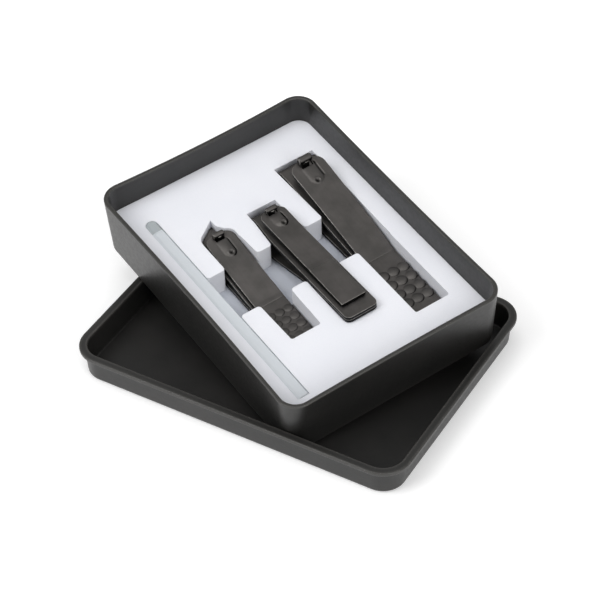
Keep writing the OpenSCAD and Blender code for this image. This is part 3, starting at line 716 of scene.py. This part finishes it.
def makeGripTree(c):  # sizes in metres
    tree = bpy.data.node_groups.new("thumbGrip", "GeometryNodeTree")
    face = tree.interface
    face.new_socket("Geometry", in_out="OUTPUT", socket_type="NodeSocketGeometry")
    values = {"Radius": 0.0015, "Height": 0.0003, "Step along": 0.004, "Step across": 0.003, "Dark": 0.9,
              "Rows along": c["rowsAlong"], "Rows across": c["rowsAcross"]}
    for name, value in values.items():
        kind = "NodeSocketInt" if isinstance(value, int) else "NodeSocketFloat"
        socket = face.new_socket(name, in_out="INPUT", socket_type=kind)
        socket.default_value = value
    add, link = tree.nodes.new, tree.links.new
    given = add("NodeGroupInput").outputs

    def put(value, socket):
        if isinstance(value, (int, float)):
            socket.default_value = value
        else:
            link(value, socket)

    def maths(kind, a, b):
        node = add("ShaderNodeMath")
        node.operation = kind
        put(a, node.inputs[0])
        put(b, node.inputs[1])
        return node.outputs[0]

    def vector(x, y, z):
        node = add("ShaderNodeCombineXYZ")
        for value, socket in zip((x, y, z), node.inputs):
            put(value, socket)
        return node.outputs[0]
    rows = add("GeometryNodeMeshGrid")
    link(given["Rows along"], rows.inputs["Vertices X"])
    link(given["Rows across"], rows.inputs["Vertices Y"])
    for way, side in (("along", "Size X"), ("across", "Size Y")):
        gaps = maths("SUBTRACT", given["Rows " + way], 1)
        link(maths("MULTIPLY", given["Step " + way], gaps), rows.inputs[side])
    dome = add("GeometryNodeMeshUVSphere")
    dome.inputs["Segments"].default_value = c["segments"]
    dome.inputs["Rings"].default_value = c["rings"]
    dome.inputs["Radius"].default_value = 1
    parts = add("ShaderNodeSeparateXYZ")
    link(add("GeometryNodeInputPosition").outputs[0], parts.inputs[0])
    x, y, z = parts.outputs
    # painted shade on the flank
    flank = maths("ADD", maths("MULTIPLY", y, c["flankY"]), maths("MULTIPLY", x, c["flankX"]))
    flank = maths("MULTIPLY", maths("SUBTRACT", flank, c["flankFrom"]), c["flankGain"])
    fall = maths("SUBTRACT", c["footShare"], maths("MULTIPLY", z, c["crownFall"]))
    flank = maths("MAXIMUM", maths("MULTIPLY", flank, fall), c["leastDark"])
    dark = add("GeometryNodeStoreNamedAttribute")
    dark.data_type = "FLOAT"
    dark.domain = "POINT"
    dark.inputs["Name"].default_value = "recess"
    link(dome.outputs["Mesh"], dark.inputs["Geometry"])
    link(maths("MINIMUM", flank, given["Dark"]), dark.inputs["Value"])
    # lean of the crown
    lean = maths("MULTIPLY", maths("MAXIMUM", z, 0.0), c["lean"])
    leaned = add("GeometryNodeSetPosition")
    link(dark.outputs["Geometry"], leaned.inputs["Geometry"])
    link(vector(maths("MULTIPLY", lean, c["leanX"]), lean, 0.0), leaned.inputs["Offset"])
    each = add("GeometryNodeInstanceOnPoints")
    link(rows.outputs["Mesh"], each.inputs["Points"])
    link(leaned.outputs["Geometry"], each.inputs["Instance"])
    link(vector(given["Radius"], given["Radius"], given["Height"]), each.inputs["Scale"])
    real = add("GeometryNodeRealizeInstances")
    link(each.outputs["Instances"], real.inputs["Geometry"])
    coat = add("GeometryNodeSetMaterial")
    coat.inputs["Material"].default_value = steel
    link(real.outputs["Geometry"], coat.inputs["Geometry"])
    link(coat.outputs["Geometry"], add("NodeGroupOutput").inputs[0])
    return tree


gripTree = makeGripTree(grip)


def gripMesh(m):
    g = m.c["scales"]
    blank = addObject("gripBlank", bpy.data.meshes.new("gripBlank"))
    grow = blank.modifiers.new("grip", "NODES")
    grow.node_group = gripTree
    values = {"Radius": g["radius"] * mm, "Height": g["high"] * mm, "Step along": g["stepX"] * mm,
              "Step across": g["stepY"] * mm, "Dark": g["dark"]}
    for item in gripTree.interface.items_tree:
        if item.in_out == "INPUT" and item.name in values:
            grow[item.identifier] = values[item.name]
    view = bpy.context.evaluated_depsgraph_get()
    mesh = bpy.data.meshes.new_from_object(blank.evaluated_get(view))
    bpy.data.objects.remove(blank)
    fall = (m.c["bendZ"] - m.c["tailZ"]) / (m.tail - m.bend)
    x = m.bend + g["first"] + (grip["rowsAlong"] - 1) / 2 * g["stepX"]
    z = m.under(x) + m.c["thick"]
    middle = Matrix.Translation(Vector((x, 0, z)) * mm) @ Matrix.Rotation(math.atan(fall), 4, "Y")
    mesh.transform(m.place @ middle)
    return mesh


def makeLever(size):
    m = LeverShape(levers[size])
    thick = m.c["thick"]
    bm = bmesh.new()
    recess = bm.verts.layers.float.new("recess")
    upper, lower = [], []
    xs = leverColumns(m)
    for x in xs:
        ys, first, last = leverRows(m, x)
        z = m.under(x) + thick
        row = []
        for y in ys:
            high, deep = m.relief(x, y)
            v = bm.verts.new((x, y, z + high))
            v[recess] = deep
            row.append(v)
        upper.append(row)
        lower.append([bm.verts.new((x, y, m.low(x))) for y in ys])
    for i in range(len(xs) - 1):
        inNotch = xs[i + 1] <= m.notchEnd + 1e-6
        for j in range(len(ys) - 1):
            if inNotch and first <= j < last:
                continue
            cell = ((i, j), (i + 1, j), (i + 1, j + 1), (i, j + 1))
            bm.faces.new([upper[p][q] for p, q in cell])
            bm.faces.new([lower[p][q] for p, q in reversed(cell)])
    # side faces join the open edges of the two skins
    partner = {}
    for up, down in zip(upper, lower):
        partner.update(zip(up, down))
    sides = set()
    for e in [e for e in bm.edges if e.is_boundary and e.verts[0] in partner]:
        a, b = e.verts
        if e.link_loops[0].vert is not a:
            a, b = b, a
        sides.add(bm.faces.new((b, a, partner[a], partner[b])))
    bmesh.ops.delete(bm, geom=[v for v in bm.verts if not v.link_faces], context="VERTS")
    for v in bm.verts:
        v.co = m.place @ (v.co * mm)
    bmesh.ops.recalc_face_normals(bm, faces=bm.faces)
    joined = [e for e in bm.edges if len(e.link_faces) == 2]
    borders = [e for e in joined if (e.link_faces[0] in sides) != (e.link_faces[1] in sides)]
    softenEdges(bm, borders, pressed["softEdge"])
    if m.c["scales"]:
        bm.from_mesh(gripMesh(m))
    return weighted(fromBmesh(size + "Lever", bm, steel, pressed["smoothTo"]))


for size in clippers:
    finishPiece(makeLever(size), size + "_arm", "steel", size + "_lever")
print("levers made")


# White floor and sky, a large soft lamp from the front left, and weak ones from the right and above
studio = {"floorZ": -0.0003, "floorHalf": 3, "floorGlow": 0.25, "floorTones": (0.90, 0.88), "sky": 0.46,
          "key": 11.4, "keySize": 1.0, "keyFrom": (-0.62, -0.90, 1.15),
          "fill": 9, "fillSize": 1.0, "fillFrom": (1.15, -0.55, 0.85),
          "top": 4.2, "topSize": 0.9, "topFrom": (-0.10, -0.10, 1.60)}


def areaLamp(name, place, size, watts, target=(0, 0.01, 0.01)):
    data = bpy.data.lights.new(name, "AREA")
    data.shape = "DISK"
    data.size = size
    data.energy = watts
    back = Vector(place) - Vector(target)
    turn = back.to_track_quat("Z", "Y").to_matrix().to_4x4()
    addObject(name, data).matrix_world = Matrix.Translation(place) @ turn


def makeFloor(c):
    s = Shader("paleFloor")
    path = s.add("ShaderNodeLightPath").outputs
    seen = s.maths("MAXIMUM", path["Is Glossy Ray"], path["Is Transmission Ray"])
    seen = s.maths("MAXIMUM", path["Is Camera Ray"], seen)
    pale, dark = ((tone, tone, tone) for tone in c["floorTones"])
    s.set(Base_Color=s.blend(s.remap(s.noise(3, 2), 0.3, 0.7), pale, dark),
          Roughness=0.9, Specular_IOR_Level=0.0, Emission_Color=(1, 1, 1, 1),
          Emission_Strength=s.maths("MULTIPLY", seen, c["floorGlow"]))
    bm = bmesh.new()
    bmesh.ops.create_grid(bm, x_segments=8, y_segments=8, size=c["floorHalf"])
    floor = fromBmesh("floor", bm, s.material)
    floor.data.transform(Matrix.Translation((0, 0, c["floorZ"])))


def makeSky(c):  # white where it is seen, dimmer as a light
    world = bpy.data.worlds.new("studio")
    bpy.context.scene.world = world
    world.use_nodes = True
    tree = world.node_tree
    path = tree.nodes.new("ShaderNodeLightPath")
    seen = tree.nodes.new("ShaderNodeMath")
    seen.operation = "MAXIMUM"
    tree.links.new(path.outputs["Is Camera Ray"], seen.inputs[0])
    tree.links.new(path.outputs["Is Transmission Ray"], seen.inputs[1])
    level = tree.nodes.new("ShaderNodeMapRange")
    tree.links.new(seen.outputs[0], level.inputs["Value"])
    level.inputs["To Min"].default_value = c["sky"]
    level.inputs["To Max"].default_value = 1.0
    sky = tree.nodes["Background"]
    sky.inputs["Color"].default_value = (1, 1, 1, 1)
    tree.links.new(level.outputs["Result"], sky.inputs["Strength"])


makeFloor(studio)
makeSky(studio)
for lamp in ("key", "fill", "top"):
    areaLamp(lamp + "Lamp", studio[lamp + "From"], studio[lamp + "Size"], studio[lamp])
bpy.context.scene.view_settings.view_transform = "Standard"
print("studio made")
